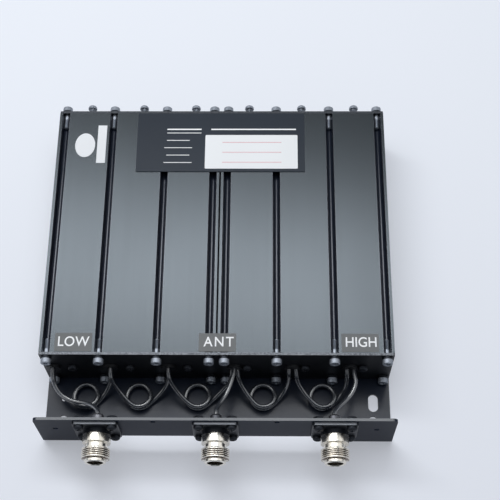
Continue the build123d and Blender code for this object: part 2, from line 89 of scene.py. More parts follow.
class DuplexerBodyFinish(PropertyGroup):
    block_colour: colour("Block", "Anodised colour of the extruded blocks", (0.046, 0.053, 0.059))
    plate_colour: colour("End plates", "Anodised colour of the end plates", (0.02, 0.022, 0.027))
    # Painted highlight along the lips of the grooves
    lip_highlight_colour: colour("Groove lips", "Painted highlight along the lips of the grooves", (0.075, 0.080, 0.092))
    # Painted shade down in the grooves
    groove_shade_colour: colour("Groove inside", "Painted shade down in the grooves", (0.016, 0.021, 0.036))
    # Painted shade on the turned-down edges at the middle joint
    joint_shade_colour: colour("Joint", "Painted shade on the turned-down edges where the two blocks meet", (0.003, 0.004, 0.007))
    # Painted highlight along the upper edge of the plates and the flange
    rim_highlight_colour: colour("Plate rims", "Painted highlight on the upper edge of the plates and the flange", (0.13, 0.138, 0.152))
    block_roughness: factor("Roughness", "Roughness of the anodised faces", 0.25)
    block_metal: factor("Metal shine", "Share of the anodised faces that shines as metal", 0.85)
    draw_depth: factor("Draw lines", "Strength of the fine lines left by the extrusion die", 0.03)
    bracket_colour: colour("Bracket", "Powder coat of the bracket", (0.010, 0.016, 0.032))
    bracket_roughness: factor("Bracket roughness", "Roughness of the powder coat", 0.38)
    base_gloss: factor("Base gloss", "Gloss of the bracket's base, rubbed flat by handling", 0.5)
    bracket_grain: factor("Bracket grain", "Strength of the powder coat's orange peel", 0.18)


class DuplexerHardware(PropertyGroup):
    head_colour: colour("Black steel", "Worn steel of the cap screws, tuning screws and lock nuts",
                        (0.25, 0.27, 0.305))
    dark_colour: colour("Dark steel", "Black oxide of the pan screws, jack nuts and washers",
                        (0.015, 0.017, 0.022))
    head_roughness: factor("Head roughness", "Roughness of the screw heads", 0.42)
    head_teeth: IntProperty(name="Knurl teeth", description="Teeth round each cap screw's head",
                            default=30, min=8, max=60)
    nickel_colour: colour("Nickel", "Bright plating of the jacks", (0.80, 0.77, 0.71))
    nickel_roughness: factor("Nickel roughness", "Roughness of the plated barrels", 0.20)
    # Painted shade, with a brown tarnish tint, in the thread roots
    root_shade_colour: colour("Thread roots", "Painted shade and brown tarnish in the roots of the jacks' threads", (0.16, 0.125, 0.10))
    flange_colour: colour("Jack plate", "Black finish of the jacks' plates", (0.022, 0.025, 0.033))
    # Painted highlight along the jack plates' upper edge
    edge_highlight_colour: colour("Jack plate edge", "Painted highlight on the upper edge of the jacks' plates", (0.22, 0.23, 0.25))
    ferrule_colour: colour("Ferrule", "Black sleeve of the crimp ferrules", (0.030, 0.032, 0.038))
    contact_colour: colour("Contact", "Gilt of the centre contacts", (0.66, 0.47, 0.19))
    insulator_colour: colour("Insulator", "Fluoropolymer of the jacks' insulators", (0.10, 0.098, 0.095))


class DuplexerLeads(PropertyGroup):
    diameter: length("Diameter", "Outside of the leads' jacket", 2.5 * mm)
    ring_radius: length("Ring radius", "Radius of each lead's loop, to the middle of the jacket", 6.9 * mm)
    ring_front: length("Ring distance", "Distance of each loop's centre in front of the end plate",
                       12.5 * mm)
    ring_top: length("Ring top", "Height at which a loop starts", 7.9 * mm)
    ring_bottom: length("Ring bottom", "Height at which a loop ends", 3.15 * mm)
    jacket_colour: colour("Jacket", "Colour of the leads' jacket", (0.030, 0.033, 0.040))
    jacket_roughness: factor("Jacket roughness", "Roughness of the jacket", 0.27)


class DuplexerLabels(PropertyGroup):
    plate_colour: colour("Nameplate", "Ground of the nameplate", (0.010, 0.017, 0.029))
    rule_colour: colour("Rules", "Faint red rules of the white field", (0.72, 0.30, 0.34))
    field_colour: colour("Field", "Blank white field of the nameplate", (0.87, 0.88, 0.89))
    tape_colour: colour("Port tape", "Ground of the port labels", (0.120, 0.124, 0.126))
    ink_colour: colour("Letters", "White letters of the port labels", (0.95, 0.95, 0.96))
    sticker_colour: colour("Stickers", "Ground of the paper stickers", (0.84, 0.85, 0.87))
    letter_height: length("Letter height", "Size of the port labels' letters", 8.3 * mm)
    letter_width: factor("Letter width", "Width of the port labels' letters for their height", 0.90)
    tape_length: length("Tape length", "Length of a port label", 21.0 * mm)
    tape_side: length("Tape shift", "Distance of the outer port labels' middles from the middle", 80.8 * mm)
    stroke: length("Letter stroke", "How far the letters' outlines are thickened", 0.08 * mm)
    low_text: StringProperty(name="Low port", description="Word on the low port's label", default="LOW")
    antenna_text: StringProperty(name="Antenna port", description="Word on the antenna port's label",
                                 default="ANT")
    high_text: StringProperty(name="High port", description="Word on the high port's label", default="HIGH")


class DuplexerStage(PropertyGroup):
    floor_near: colour("Floor near", "Floor colour near the camera's lower edge", (0.88, 0.905, 0.975))
    floor_far: colour("Floor far", "Floor colour at the camera's upper edge", (0.89, 0.92, 0.985))
    floor_glow: factor("Floor glow", "Share of the floor's own colour that no shadow reaches", 0.35)
    world_strength: factor("World", "Strength of the even light", 0.20, 4.0)
    shade_tint: colour("Shade", "Tint of the light from the dark part of the room", (0.62, 0.80, 1.0))
    wall_tint: colour("Walls", "Tint of the light from the pale walls", (0.97, 0.98, 1.0))
    mirror_walls: factor("Mirrored walls", "Brightness of the pale walls in polished faces", 0.95)
    mirror_room: factor("Mirrored room", "Brightness of the dark rest of the room in polished faces", 0.10)
    lamp_tint: colour("Lamps", "Tint of both panels' light", (0.97, 0.985, 1.0))
    panel_place: location("Panel place", "Middle of the overhead panel", (-0.35, 0.60, 1.15))
    panel_power: power("Panel light", "Power of the overhead panel", 9.05)
    panel_length: length("Panel length", "Long side of both panels", 1300.0 * mm)
    panel_width: length("Panel width", "Short side of the overhead panel", 245.0 * mm)
    panel_turn: rotation("Panel turn", "Turn of both panels seen from above", -7)
    front_place: location("Front place", "Middle of the weak panel over the front", (-0.10, 0.175, 1.15))
    front_power: power("Front light", "Power of the weak panel over the front", 4.5)
    front_width: length("Front width", "Short side of the weak panel", 520.0 * mm)
    camera_place: location("Camera", "Place of the camera", (0.028141, -0.233749, 0.654396))
    camera_target: location("Target", "Point at the middle of the picture", (0.017781, 0.084801, 0.0))
    camera_roll: rotation("Roll", "Turn of the camera about its own axis", -1.574)
    camera_lens: FloatProperty(name="Lens", description="Focal length", default=84.248, min=1,
                               unit="CAMERA")


# Node trees
def place_node(tree, kind, **values):
    """Adds a node; a value sets the socket of that name, or else the node's own property."""
    made = tree.nodes.new(kind)
    for name, value in values.items():
        socket = made.inputs.get(name.replace("_", " "))
        if socket is None or isinstance(value, str):
            setattr(made, name, value)
        elif isinstance(value, bpy.types.NodeSocket):
            tree.links.new(value, socket)
        else:
            socket.default_value = value
    return made


def join(tree, start, end):
    tree.links.new(start, end)


def calculate(tree, operation, first, second=0.0, third=0.0, clamp=False):
    """A Math node's output; each term is a socket or a number."""
    made = tree.nodes.new("ShaderNodeMath")
    made.operation = operation
    made.use_clamp = clamp
    for socket, term in zip(made.inputs, (first, second, third)):
        if isinstance(term, bpy.types.NodeSocket):
            tree.links.new(term, socket)
        else:
            socket.default_value = term
    return made.outputs[0]


def blend_colours(tree, mask, first, second):
    made = tree.nodes.new("ShaderNodeMix")
    made.data_type = "RGBA"
    for socket, term in ((made.inputs["Factor"], mask), (made.inputs[6], first), (made.inputs[7], second)):
        if isinstance(term, bpy.types.NodeSocket):
            tree.links.new(term, socket)
        elif isinstance(term, (int, float)):
            socket.default_value = term
        else:
            socket.default_value = (*term, 1.0)
    return made.outputs[2]


def remap(tree, value, low, high, new_low, new_high, smooth=False):
    made = tree.nodes.new("ShaderNodeMapRange")
    made.interpolation_type = "SMOOTHSTEP" if smooth else "LINEAR"
    join(tree, value, made.inputs["Value"])
    for name, term in (("From Min", low), ("From Max", high), ("To Min", new_low), ("To Max", new_high)):
        made.inputs[name].default_value = term
    return made.outputs["Result"]


def object_point(tree):
    """Place on the surface in the row frame, in metres."""
    return tree.nodes.new("ShaderNodeTexCoord").outputs["Object"]


def split_point(tree):
    """Node with the X, Y and Z of the place on the surface."""
    return place_node(tree, "ShaderNodeSeparateXYZ", Vector=object_point(tree))


def lighter(shade, share):
    return tuple(min(1.0, channel * share) for channel in shade)


def new_group(name, inputs, outputs):
    tree = bpy.data.node_groups.new(name, "ShaderNodeTree")
    for label, kind, value in inputs:
        made = tree.interface.new_socket(name=label, in_out="INPUT", socket_type=kind)
        if value is not None:
            made.default_value = value
    for label, kind in outputs:
        tree.interface.new_socket(name=label, in_out="OUTPUT", socket_type=kind)
    return tree, tree.nodes.new("NodeGroupInput"), tree.nodes.new("NodeGroupOutput")


def use_group(tree, name, **values):
    made = tree.nodes.new("ShaderNodeGroup")
    made.node_tree = bpy.data.node_groups[name]
    for label, value in values.items():
        socket = made.inputs[label.replace("_", " ")]
        if isinstance(value, bpy.types.NodeSocket):
            tree.links.new(value, socket)
        else:
            socket.default_value = value
    return made


def noise(tree, point, scale, detail=3.0, stretch=None):
    """A noise texture's value; stretch squeezes the pattern along each axis."""
    if stretch:
        mapped = place_node(tree, "ShaderNodeMapping", Vector=point)
        mapped.inputs["Scale"].default_value = stretch
        point = mapped.outputs["Vector"]
    made = place_node(tree, "ShaderNodeTexNoise", Vector=point, Scale=scale, Detail=detail)
    return made.outputs[0]


def build_draw_lines():
    """Fine lines along Y that an extrusion die or a roller leaves."""
    tree, given, out = new_group("draw_lines", [("Spacing", "NodeSocketFloat", 1.0)],
                                 [("Height", "NodeSocketFloat"), ("Tone", "NodeSocketFloat")])
    point = object_point(tree)
    fine = noise(tree, point, 1.0, 2.0, (2600, 9, 2600))
    broad = noise(tree, point, 1.0, 2.0, (420, 4, 420))
    both = calculate(tree, "MULTIPLY_ADD", fine, given.outputs["Spacing"], broad)
    join(tree, calculate(tree, "MULTIPLY", both, 0.5), out.inputs["Height"])
    join(tree, remap(tree, broad, 0.3, 0.7, 0.0, 1.0), out.inputs["Tone"])


def build_coat_grain():
    """Small grain of a coated or moulded face, with its bump height and a mask of paler specks."""
    tree, given, out = new_group("coat_grain", [("Size", "NodeSocketFloat", 1.0)],
                                 [("Height", "NodeSocketFloat"), ("Specks", "NodeSocketFloat")])
    point = object_point(tree)
    scale = calculate(tree, "DIVIDE", 1400.0, given.outputs["Size"])
    grain = place_node(tree, "ShaderNodeTexNoise", Vector=point, Detail=4.0)
    join(tree, scale, grain.inputs["Scale"])
    cells = place_node(tree, "ShaderNodeTexVoronoi", Vector=point)
    join(tree, scale, cells.inputs["Scale"])
    join(tree, calculate(tree, "ADD", grain.outputs[0], cells.outputs["Distance"]), out.inputs["Height"])
    specks = noise(tree, point, 900.0, 1.0)
    join(tree, remap(tree, specks, 0.70, 0.78, 0.0, 1.0), out.inputs["Specks"])


def build_handling_marks():
    """Faint wipes, dust and fingerprints: a broad mask and a fine one."""
    tree, given, out = new_group("handling_marks", [("Amount", "NodeSocketFloat", 1.0)],
                                 [("Wipes", "NodeSocketFloat"), ("Dust", "NodeSocketFloat")])
    point = object_point(tree)
    wipes = noise(tree, point, 26.0, 2.0, (1.0, 0.45, 1.0))
    dust = noise(tree, point, 2200.0, 2.0)
    patch = noise(tree, point, 60.0, 3.0)
    spread = calculate(tree, "MULTIPLY", remap(tree, dust, 0.66, 0.74, 0.0, 1.0),
                       remap(tree, patch, 0.42, 0.62, 0.0, 1.0))
    join(tree, calculate(tree, "MULTIPLY", remap(tree, wipes, 0.20, 0.85, 0.0, 1.0, True),
                         given.outputs["Amount"]), out.inputs["Wipes"])
    join(tree, calculate(tree, "MULTIPLY", spread, given.outputs["Amount"]), out.inputs["Dust"])


def nearest_distance(tree, value, centres):
    """Distance from a value to the nearest of the centres."""
    nearest = None
    for centre in centres:
        distance = calculate(tree, "ABSOLUTE", calculate(tree, "SUBTRACT", value, centre))
        nearest = distance if nearest is None else calculate(tree, "MINIMUM", nearest, distance)
    return nearest


def build_groove_masks():
    """Masks for the blocks: painted highlight on the grooves' lips, painted shade deep inside and on the
    middle joint.
    """
    tree, given, out = new_group("groove_masks", [("Half Mouth", "NodeSocketFloat", 2.3 * mm),
                                                  ("Lip", "NodeSocketFloat", 0.45 * mm),
                                                  ("Half Joint", "NodeSocketFloat", 0.55 * mm),
                                                  ("Top", "NodeSocketFloat", 40.0 * mm)],
                                 [("Lip Highlights", "NodeSocketFloat"), ("Shaded Depths", "NodeSocketFloat"),
                                  ("Joint", "NodeSocketFloat")])
    parts = split_point(tree)
    across = calculate(tree, "ABSOLUTE", parts.outputs["X"])
    nearest = nearest_distance(tree, across, groove_centres())
    beyond = calculate(tree, "SUBTRACT", nearest, given.outputs["Half Mouth"])
    near_lip = calculate(tree, "SUBTRACT", 1.0, calculate(
        tree, "DIVIDE", calculate(tree, "ABSOLUTE", beyond), given.outputs["Lip"]), clamp=True)
    sunk = calculate(tree, "SUBTRACT", given.outputs["Top"], parts.outputs["Z"])
    on_top = remap(tree, sunk, 0.2 * mm, 0.5 * mm, 1.0, 0.0)
    inside = calculate(tree, "LESS_THAN", nearest, given.outputs["Half Mouth"])
    # Painted shade on the turned-down edges where the two blocks meet
    joint = calculate(tree, "LESS_THAN", across, given.outputs["Half Joint"])
    # Painted shade that deepens down a groove
    deep = remap(tree, sunk, 0.1 * mm, 1.2 * mm, 0.0, 1.0)
    ragged = remap(tree, noise(tree, object_point(tree), 700.0, 3.0), 0.3, 0.6, 0.55, 1.0)
    # Painted highlight along the lips of the grooves, ragged by noise
    wear_and_highlight = calculate(tree, "MULTIPLY", calculate(tree, "MULTIPLY", near_lip, on_top), ragged)
    join(tree, wear_and_highlight, out.inputs["Lip Highlights"])
    join(tree, calculate(tree, "MULTIPLY", inside, deep), out.inputs["Shaded Depths"])
    join(tree, joint, out.inputs["Joint"])


def groove_centres():
    """Distances of the grooves from the middle, read from the washers in front of them."""
    places = sorted({round(abs(vertex.co.x), 4) for vertex in nodes["plate_washers"].data.vertices})
    groups = []
    for place in places:
        if groups and place - groups[-1][-1] < 1.5 * mm:
            groups[-1].append(place)
        else:
            groups.append([place])
    return [(group[0] + group[-1]) / 2 for group in groups]


def build_groups():
    build_draw_lines()
    build_coat_grain()
    build_handling_marks()
    build_groove_masks()


def new_material(name, **values):
    made = bpy.data.materials.new(name)
    made.use_nodes = True
    tree = made.node_tree
    shader = tree.nodes["Principled BSDF"]
    for label, value in values.items():
        shader.inputs[label.replace("_", " ")].default_value = value
    return made, tree, shader


def raise_bump(tree, shader, height, strength, distance=0.02 * mm):
    made = place_node(tree, "ShaderNodeBump", Strength=strength, Distance=distance)
    join(tree, height, made.inputs["Height"])
    join(tree, made.outputs["Normal"], shader.inputs["Normal"])


def paint(tree, shader, mask, first, second):
    """Blends two colours by a mask into the shader's base colour."""
    join(tree, blend_colours(tree, mask, first, second), shader.inputs["Base Color"])


def two_tone(name, mask, first, second, share=1.0, grain_size=0.8, bump=0.0, **values):
    """A material of two colours, blended by the marks' Wipes or by the grain's Specks."""
    made, tree, shader = new_material(name, **values)
    grain = use_group(tree, "coat_grain", Size=grain_size) if bump else None
    wear = grain if mask == "Specks" else use_group(tree, "handling_marks", Amount=1.0)
    paint(tree, shader, calculate(tree, "MULTIPLY", wear.outputs[mask], share), first, second)
    if bump:
        raise_bump(tree, shader, grain.outputs["Height"], bump)
    return made


def dress(names, *materials):
    """Gives CAD nodes their material."""
    for name in names:
        mesh = nodes[name].data
        mesh.materials.clear()
        for material in materials:
            mesh.materials.append(material)


def mark_smooth(mesh, angle=35.0):
    mesh.polygons.foreach_set("use_smooth", [True] * len(mesh.polygons))
    mesh.set_sharp_from_angle(angle=radians(angle))
    mesh.update()


# Turned pieces: rows of points round an axis, each row a radius and a height
def hexagon_radius(half_flats):
    return lambda angle: half_flats / cos((angle + pi / 6) % (pi / 3) - pi / 6)


def cross_radius(half_span, half_width):
    def radius(angle):
        turned = abs((angle + pi / 4) % (pi / 2) - pi / 4)
        reach = half_span / cos(turned)
        if turned > 0 and half_width / sin(turned) < reach:
            return half_width / sin(turned)
        return reach
    return radius


def square_radius(half_side, corner):
    def radius(angle):
        along, beside = abs(cos(angle)), abs(sin(angle))
        reach = half_side / max(along, beside)
        if reach * min(along, beside) <= half_side - corner:
            return reach
        centre = half_side - corner
        return centre * (along + beside) + sqrt(corner ** 2 - (centre * (along - beside)) ** 2)
    return radius


def knurl_radius(radius, depth, teeth):
    return lambda angle: radius - depth * (0.5 + 0.5 * cos(angle * teeth)) ** 2


def thread_rows(radius, depth, pitch, start, end, per_turn=6):
    """Rows of a screw thread from start to end; each row's radius follows the helix."""
    step = pitch / per_turn * (1 if end > start else -1)
    count = max(2, int(round((end - start) / step)))
    rows = []
    for row in range(count + 1):
        height = start + (end - start) * row / count
        fade = min(1.0, min(row, count - row) / per_turn)

        def reach(angle, height=height, fade=fade):
            phase = (height / pitch - angle / (2 * pi)) % 1.0
            flank = (1 - abs(2 * phase - 1)) * 2 - 0.6
            return radius - depth * fade * min(1.0, max(0.0, flank))
        rows.append((reach, height))
    return rows


class TurnedMesh:
    """Collects turned pieces in one mesh."""

    def __init__(self):
        self.points, self.faces, self.finishes = [], [], []

    def add(self, rows, place, segments, finish=0, close_start=True, close_end=True):
        first = len(self.points)
        for reach, height in rows:
            for step in range(segments):
                angle = 2 * pi * step / segments
                radius = reach(angle) if callable(reach) else reach
                self.points.append(place @ Vector((radius * cos(angle), radius * sin(angle), height)))
        for row in range(len(rows) - 1):
            kind = finish(row) if callable(finish) else finish
            for step in range(segments):
                near = first + row * segments
                far = near + segments
                beside = (step + 1) % segments
                self.faces.append((near + step, near + beside, far + beside, far + step))
                self.finishes.append(kind)
        if close_start:
            self.faces.append([first + step for step in reversed(range(segments))])
            self.finishes.append(finish(0) if callable(finish) else finish)
        if close_end:
            last = first + (len(rows) - 1) * segments
            self.faces.append([last + step for step in range(segments)])
            self.finishes.append(finish(len(rows) - 2) if callable(finish) else finish)

    def build(self, name, materials, body=HOUSING, replaced=(), angle=35.0):
        mesh = bpy.data.meshes.new(name)
        mesh.from_pydata([tuple(point) for point in self.points], [], self.faces)
        mesh.update()
        for material in materials:
            mesh.materials.append(material)
        mesh.polygons.foreach_set("material_index", self.finishes)
        mark_smooth(mesh, angle)
        return settle(bpy.data.objects.new(name, mesh), body, replaced)


def settle(piece, body=HOUSING, replaced=()):
    """Links a piece and makes it ride on its body."""
    bpy.context.scene.collection.objects.link(piece)
    if replaced:
        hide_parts(*replaced)
    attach(piece, body)
    return piece


def facing(x, y, z, outward):
    """Place whose +Z points out of a face: outward is -1 for the front and 1 for the rear."""
    turn = Matrix.Rotation(radians(90 if outward < 0 else -90), 4, "X")
    return Matrix.Translation((x, y, z)) @ turn


def node_centre(name):
    low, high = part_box(name)
    return (low + high) / 2


def solid_boxes(name):
    """Low and high corner of each separate solid of a CAD node."""
    mesh = nodes[name].data
    parent = list(range(len(mesh.vertices)))

    def root(index):
        while parent[index] != index:
            parent[index] = parent[parent[index]]
            index = parent[index]
        return index

    places = {}
    for vertex in mesh.vertices:
        key = tuple(round(value, 7) for value in vertex.co)
        parent[vertex.index] = places.setdefault(key, vertex.index)
    for edge in mesh.edges:
        first, second = root(edge.vertices[0]), root(edge.vertices[1])
        if first != second:
            parent[first] = second
    groups = {}
    for vertex in mesh.vertices:
        groups.setdefault(root(vertex.index), []).append(vertex.co)
    found = []
    for points in groups.values():
        low = Vector([min(point[axis] for point in points) for axis in range(3)])
        high = Vector([max(point[axis] for point in points) for axis in range(3)])
        found.append((low, high))
    return found


# Stage
def seen_rays(tree):
    """1 for the rays that show the background: camera, glossy and transmission rays."""
    path = tree.nodes.new("ShaderNodeLightPath")
    return calculate(tree, "MAXIMUM", path.outputs["Is Camera Ray"],
                     calculate(tree, "MAXIMUM", path.outputs["Is Glossy Ray"],
                               path.outputs["Is Transmission Ray"]))


class DUPLEXER_OT_stage(Operator):
    """Camera, floor, lights and world"""
    bl_idname = "duplexer.stage"
    bl_label = "Stage"

    def execute(self, context):
        values = context.scene.duplexer_stage
        scene = context.scene
        scene.view_settings.view_transform = "Standard"

        data = bpy.data.cameras.new("camera")
        data.lens = values.camera_lens
        data.sensor_width = 36.0
        data.clip_start = 0.01
        camera = bpy.data.objects.new("camera", data)
        scene.collection.objects.link(camera)
        place, target = Vector(values.camera_place), Vector(values.camera_target)
        look = (target - place).to_track_quat("-Z", "Y")
        roll = Matrix.Rotation(values.camera_roll, 3, "Z").to_quaternion()
        camera.rotation_mode = "QUATERNION"
        camera.rotation_quaternion = look @ roll
        camera.location = place
        scene.camera = camera

        self.build_floor(values)
        self.build_world(values)
        self.add_panel("panel_light", values.panel_place, values.panel_width, values.panel_power, values)
        self.add_panel("front_light", values.front_place, values.front_width, values.front_power, values)
        return {"FINISHED"}

    def add_panel(self, name, place, width, power, values):
        data = bpy.data.lights.new(name, "AREA")
        data.shape = "RECTANGLE"
        data.size, data.size_y = values.panel_length, width
        data.energy = power
        data.color = values.lamp_tint
        lamp = bpy.data.objects.new(name, data)
        lamp.location = place
        lamp.rotation_euler.z = values.panel_turn
        bpy.context.scene.collection.objects.link(lamp)

    def build_floor(self, values):
        size = 6.0
        mesh = bpy.data.meshes.new("floor")
        corners = [(-size, -size, 0), (size, -size, 0), (size, size, 0), (-size, size, 0)]
        mesh.from_pydata(corners, [], [(0, 1, 2, 3)])
        floor_piece = bpy.data.objects.new("floor", mesh)
        floor_piece.location.z = -0.02 * mm
        bpy.context.scene.collection.objects.link(floor_piece)
        material, tree, shader = new_material("floor_paper", Roughness=0.9)
        shader.inputs["Specular IOR Level"].default_value = 0.1
        parts = split_point(tree)
        away = remap(tree, parts.outputs["Y"], -0.10, 0.22, 0.0, 1.0, True)
        paper = blend_colours(tree, away, values.floor_near, values.floor_far)
        join(tree, paper, shader.inputs["Base Color"])
        glow = place_node(tree, "ShaderNodeEmission", Color=paper)
        both = tree.nodes.new("ShaderNodeMixShader")
        join(tree, calculate(tree, "MULTIPLY", seen_rays(tree), values.floor_glow), both.inputs[0])
        join(tree, shader.outputs[0], both.inputs[1])
        join(tree, glow.outputs[0], both.inputs[2])
        join(tree, both.outputs[0], tree.nodes["Material Output"].inputs["Surface"])
        mesh.materials.append(material)

    def build_world(self, values):
        """Even light; polished faces mirror a dark room with pale side walls and a dimmer one behind."""
        world = bpy.data.worlds.new("studio")
        bpy.context.scene.world = world
        world.use_nodes = True
        tree = world.node_tree
        tree.nodes.clear()
        towards = place_node(tree, "ShaderNodeSeparateXYZ",
                             Vector=tree.nodes.new("ShaderNodeTexCoord").outputs["Generated"])
        beside = remap(tree, calculate(tree, "ABSOLUTE", towards.outputs["X"]), 0.28, 0.55, 0.0, 1.0, True)
        above = remap(tree, towards.outputs["Z"], 0.16, 0.30, 0.0, 1.0, True)
        behind = remap(tree, towards.outputs["Y"], -0.55, -0.25, 0.5, 0.0, True)
        walls = calculate(tree, "MULTIPLY", calculate(tree, "MAXIMUM", beside, behind), above)
        mirrored = calculate(tree, "MULTIPLY_ADD", walls, values.mirror_walls, values.mirror_room)
        path = tree.nodes.new("ShaderNodeLightPath")
        seen = calculate(tree, "MAXIMUM", path.outputs["Is Camera Ray"],
                         path.outputs["Is Transmission Ray"])
        strength = values.world_strength
        for rays, amount in ((path.outputs["Is Glossy Ray"], mirrored), (seen, 0.9)):
            chosen = tree.nodes.new("ShaderNodeMix")
            chosen.data_type = "FLOAT"
            join(tree, rays, chosen.inputs["Factor"])
            for socket, term in ((chosen.inputs[2], strength), (chosen.inputs[3], amount)):
                if isinstance(term, bpy.types.NodeSocket):
                    join(tree, term, socket)
                else:
                    socket.default_value = term
            strength = chosen.outputs[0]
        tint = blend_colours(tree, calculate(tree, "MAXIMUM", walls, seen), values.shade_tint,
                             values.wall_tint)
        light = place_node(tree, "ShaderNodeBackground", Color=tint)
        join(tree, strength, light.inputs["Strength"])
        out = tree.nodes.new("ShaderNodeOutputWorld")
        join(tree, light.outputs[0], out.inputs["Surface"])


# Leads
def ring_corners(centre_x, values):
    """Corners of a loop of one and an eighth turns, falling as they go."""
    step, corners, first = 45.0, 10, 247.5
    reach = values.ring_radius / cos(radians(step / 2))
    made = []
    for turn in range(corners):
        angle = radians(first + step * turn)
        fall = (values.ring_top - values.ring_bottom) * turn / (corners - 1)
        made.append((centre_x + reach * cos(angle), reach * sin(angle) - values.ring_front,
                     values.ring_top - fall))
    return made


def beside(place, points):
    """Route points given in millimetres by their distance in X from a tap or a jack."""
    return [(place + across * mm, along * mm, height * mm) for across, along, height in points]


def lead_routes(values):
    """Control points of every lead: from bushing to jack, and from bushing to bushing."""
    taps = [node_centre(f"tap_bushing_{number}") for number in CAVITIES]
    jacks = {name: node_centre(f"crimp_ferrule_{name}").x for name in PORTS}
    upper, lower, left, right = (0.0, 1.6, 5.4), (0.0, -1.6, 2.6), (-2.0, 0.0, 3.6), (2.0, 0.0, 3.6)
    top, low_left, low_right = (0.0, 1.8, 3.6), (-1.559, -0.9, 3.6), (1.559, -0.9, 3.6)
    bores = ((upper, lower), (upper, lower), (upper, lower), (top, low_left, low_right),
             (left, right), (left, right))

    def tap_run(tap, bore):
        across, rise, straight = bores[tap][bore]
        height = taps[tap].z / mm + rise
        return beside(taps[tap].x, [(across, 1.5, height), (across, -straight, height)])

    def front_route(tap, bore, near_tap, near_jack, jack):
        return (tap_run(tap, bore) + beside(taps[tap].x, near_tap)
                + beside(jacks[jack], near_jack + [(0.0, -29.1, 26.0), (0.0, -32.5, 26.0)]))

    def loop_route(tap, bore, outward, share, inward, end_bore):
        start, finish = taps[tap].x, taps[tap + 1].x
        return (tap_run(tap, bore) + beside(start, outward)
                + ring_corners(start + share * (finish - start), values)
                + beside(finish, inward) + tap_run(tap + 1, end_bore)[::-1])

    return {
        "coax_low_lead": front_route(
            0, 0, [(1.0, -10.4, 17.6), (5.0, -15.6, 14.4), (12.3, -18.9, 14.3)],
            [(-10.0, -20.2, 16.0), (-5.4, -22.6, 19.4), (-1.9, -26.0, 23.4)], "low"),
        "coax_antenna_lead": front_route(
            3, 0, [(-1.6, -9.0, 21.4), (-3.7, -15.0, 20.6)],
            [(2.6, -21.2, 21.6), (0.2, -25.6, 24.2)], "antenna"),
        "coax_high_lead": front_route(
            5, 1, [(3.2, -8.6, 20.0), (1.0, -14.8, 19.8)],
            [(6.8, -20.4, 20.4), (2.2, -25.0, 23.0)], "high"),
        "coax_loop_1": loop_route(
            0, 1, [(-0.3, -7.4, 12.6), (3.8, -14.2, 7.9)], 0.536,
            [(-8.0, -15.4, 3.1), (-2.8, -9.6, 7.6), (-0.1, -5.6, 13.0)], 1),
        "coax_loop_2": loop_route(
            1, 0, [(1.1, -8.8, 18.0), (6.4, -14.0, 10.8)], 0.458,
            [(-10.4, -15.6, 3.1), (-3.4, -9.6, 7.6), (0.0, -5.6, 13.0)], 1),
        "coax_loop_3": loop_route(
            2, 0, [(1.4, -8.8, 18.0), (6.7, -14.0, 10.8)], 0.427,
            [(-14.3, -15.6, 3.1), (-7.8, -10.6, 8.6), (-2.4, -7.2, 14.4)], 1),
        "coax_loop_4": loop_route(
            3, 2, [(3.0, -7.6, 15.2), (7.8, -13.6, 9.6)], 0.488,
            [(-9.4, -15.6, 3.1), (-4.0, -9.8, 7.8), (-1.9, -6.2, 14.4)], 0),
        "coax_loop_5": loop_route(
            4, 1, [(2.8, -7.6, 15.6), (8.4, -13.8, 9.6)], 0.53,
            [(-8.0, -15.6, 3.1), (-3.0, -9.8, 7.8), (-1.7, -6.2, 14.4)], 0),
    }


class DUPLEXER_OT_leads(Operator):
    """Coaxial leads and their jackets"""
    bl_idname = "duplexer.leads"
    bl_label = "Leads"

    def execute(self, context):
        values = context.scene.duplexer_leads
        material, tree, shader = new_material("lead_jacket", Roughness=values.jacket_roughness,
                                              Specular_IOR_Level=0.8, Coat_IOR=1.8,
                                              Coat_Roughness=0.22)
        grain = use_group(tree, "coat_grain", Size=1.6)
        marks = use_group(tree, "handling_marks", Amount=0.7)
        pale = lighter(values.jacket_colour, 1.9)
        tone = calculate(tree, "MAXIMUM", calculate(tree, "MULTIPLY", marks.outputs["Wipes"], 0.45),
                         marks.outputs["Dust"])
        paint(tree, shader, tone, values.jacket_colour, pale)
        parts = split_point(tree)
        join(tree, remap(tree, parts.outputs["Y"], -10.0 * mm, -4.0 * mm, 1.0, 0.1, True),
             shader.inputs["Coat Weight"])
        raise_bump(tree, shader, grain.outputs["Height"], 0.12)
        for name, route in lead_routes(values).items():
            self.lay_lead(name + "_jacket", name, route, values.diameter / 2, material)
        return {"FINISHED"}

    def lay_lead(self, name, node, route, radius, material):
        curve = bpy.data.curves.new(name, "CURVE")
        curve.dimensions = "3D"
        curve.bevel_depth = radius
        curve.bevel_resolution = 6
        curve.resolution_u = 8
        curve.use_fill_caps = True
        spline = curve.splines.new("NURBS")
        spline.points.add(len(route) - 1)
        for point, place in zip(spline.points, route):
            point.co = (*place, 1.0)
        spline.order_u = 3
        spline.use_endpoint_u = True
        curve.materials.append(material)
        settle(bpy.data.objects.new(name, curve), replaced=[node])


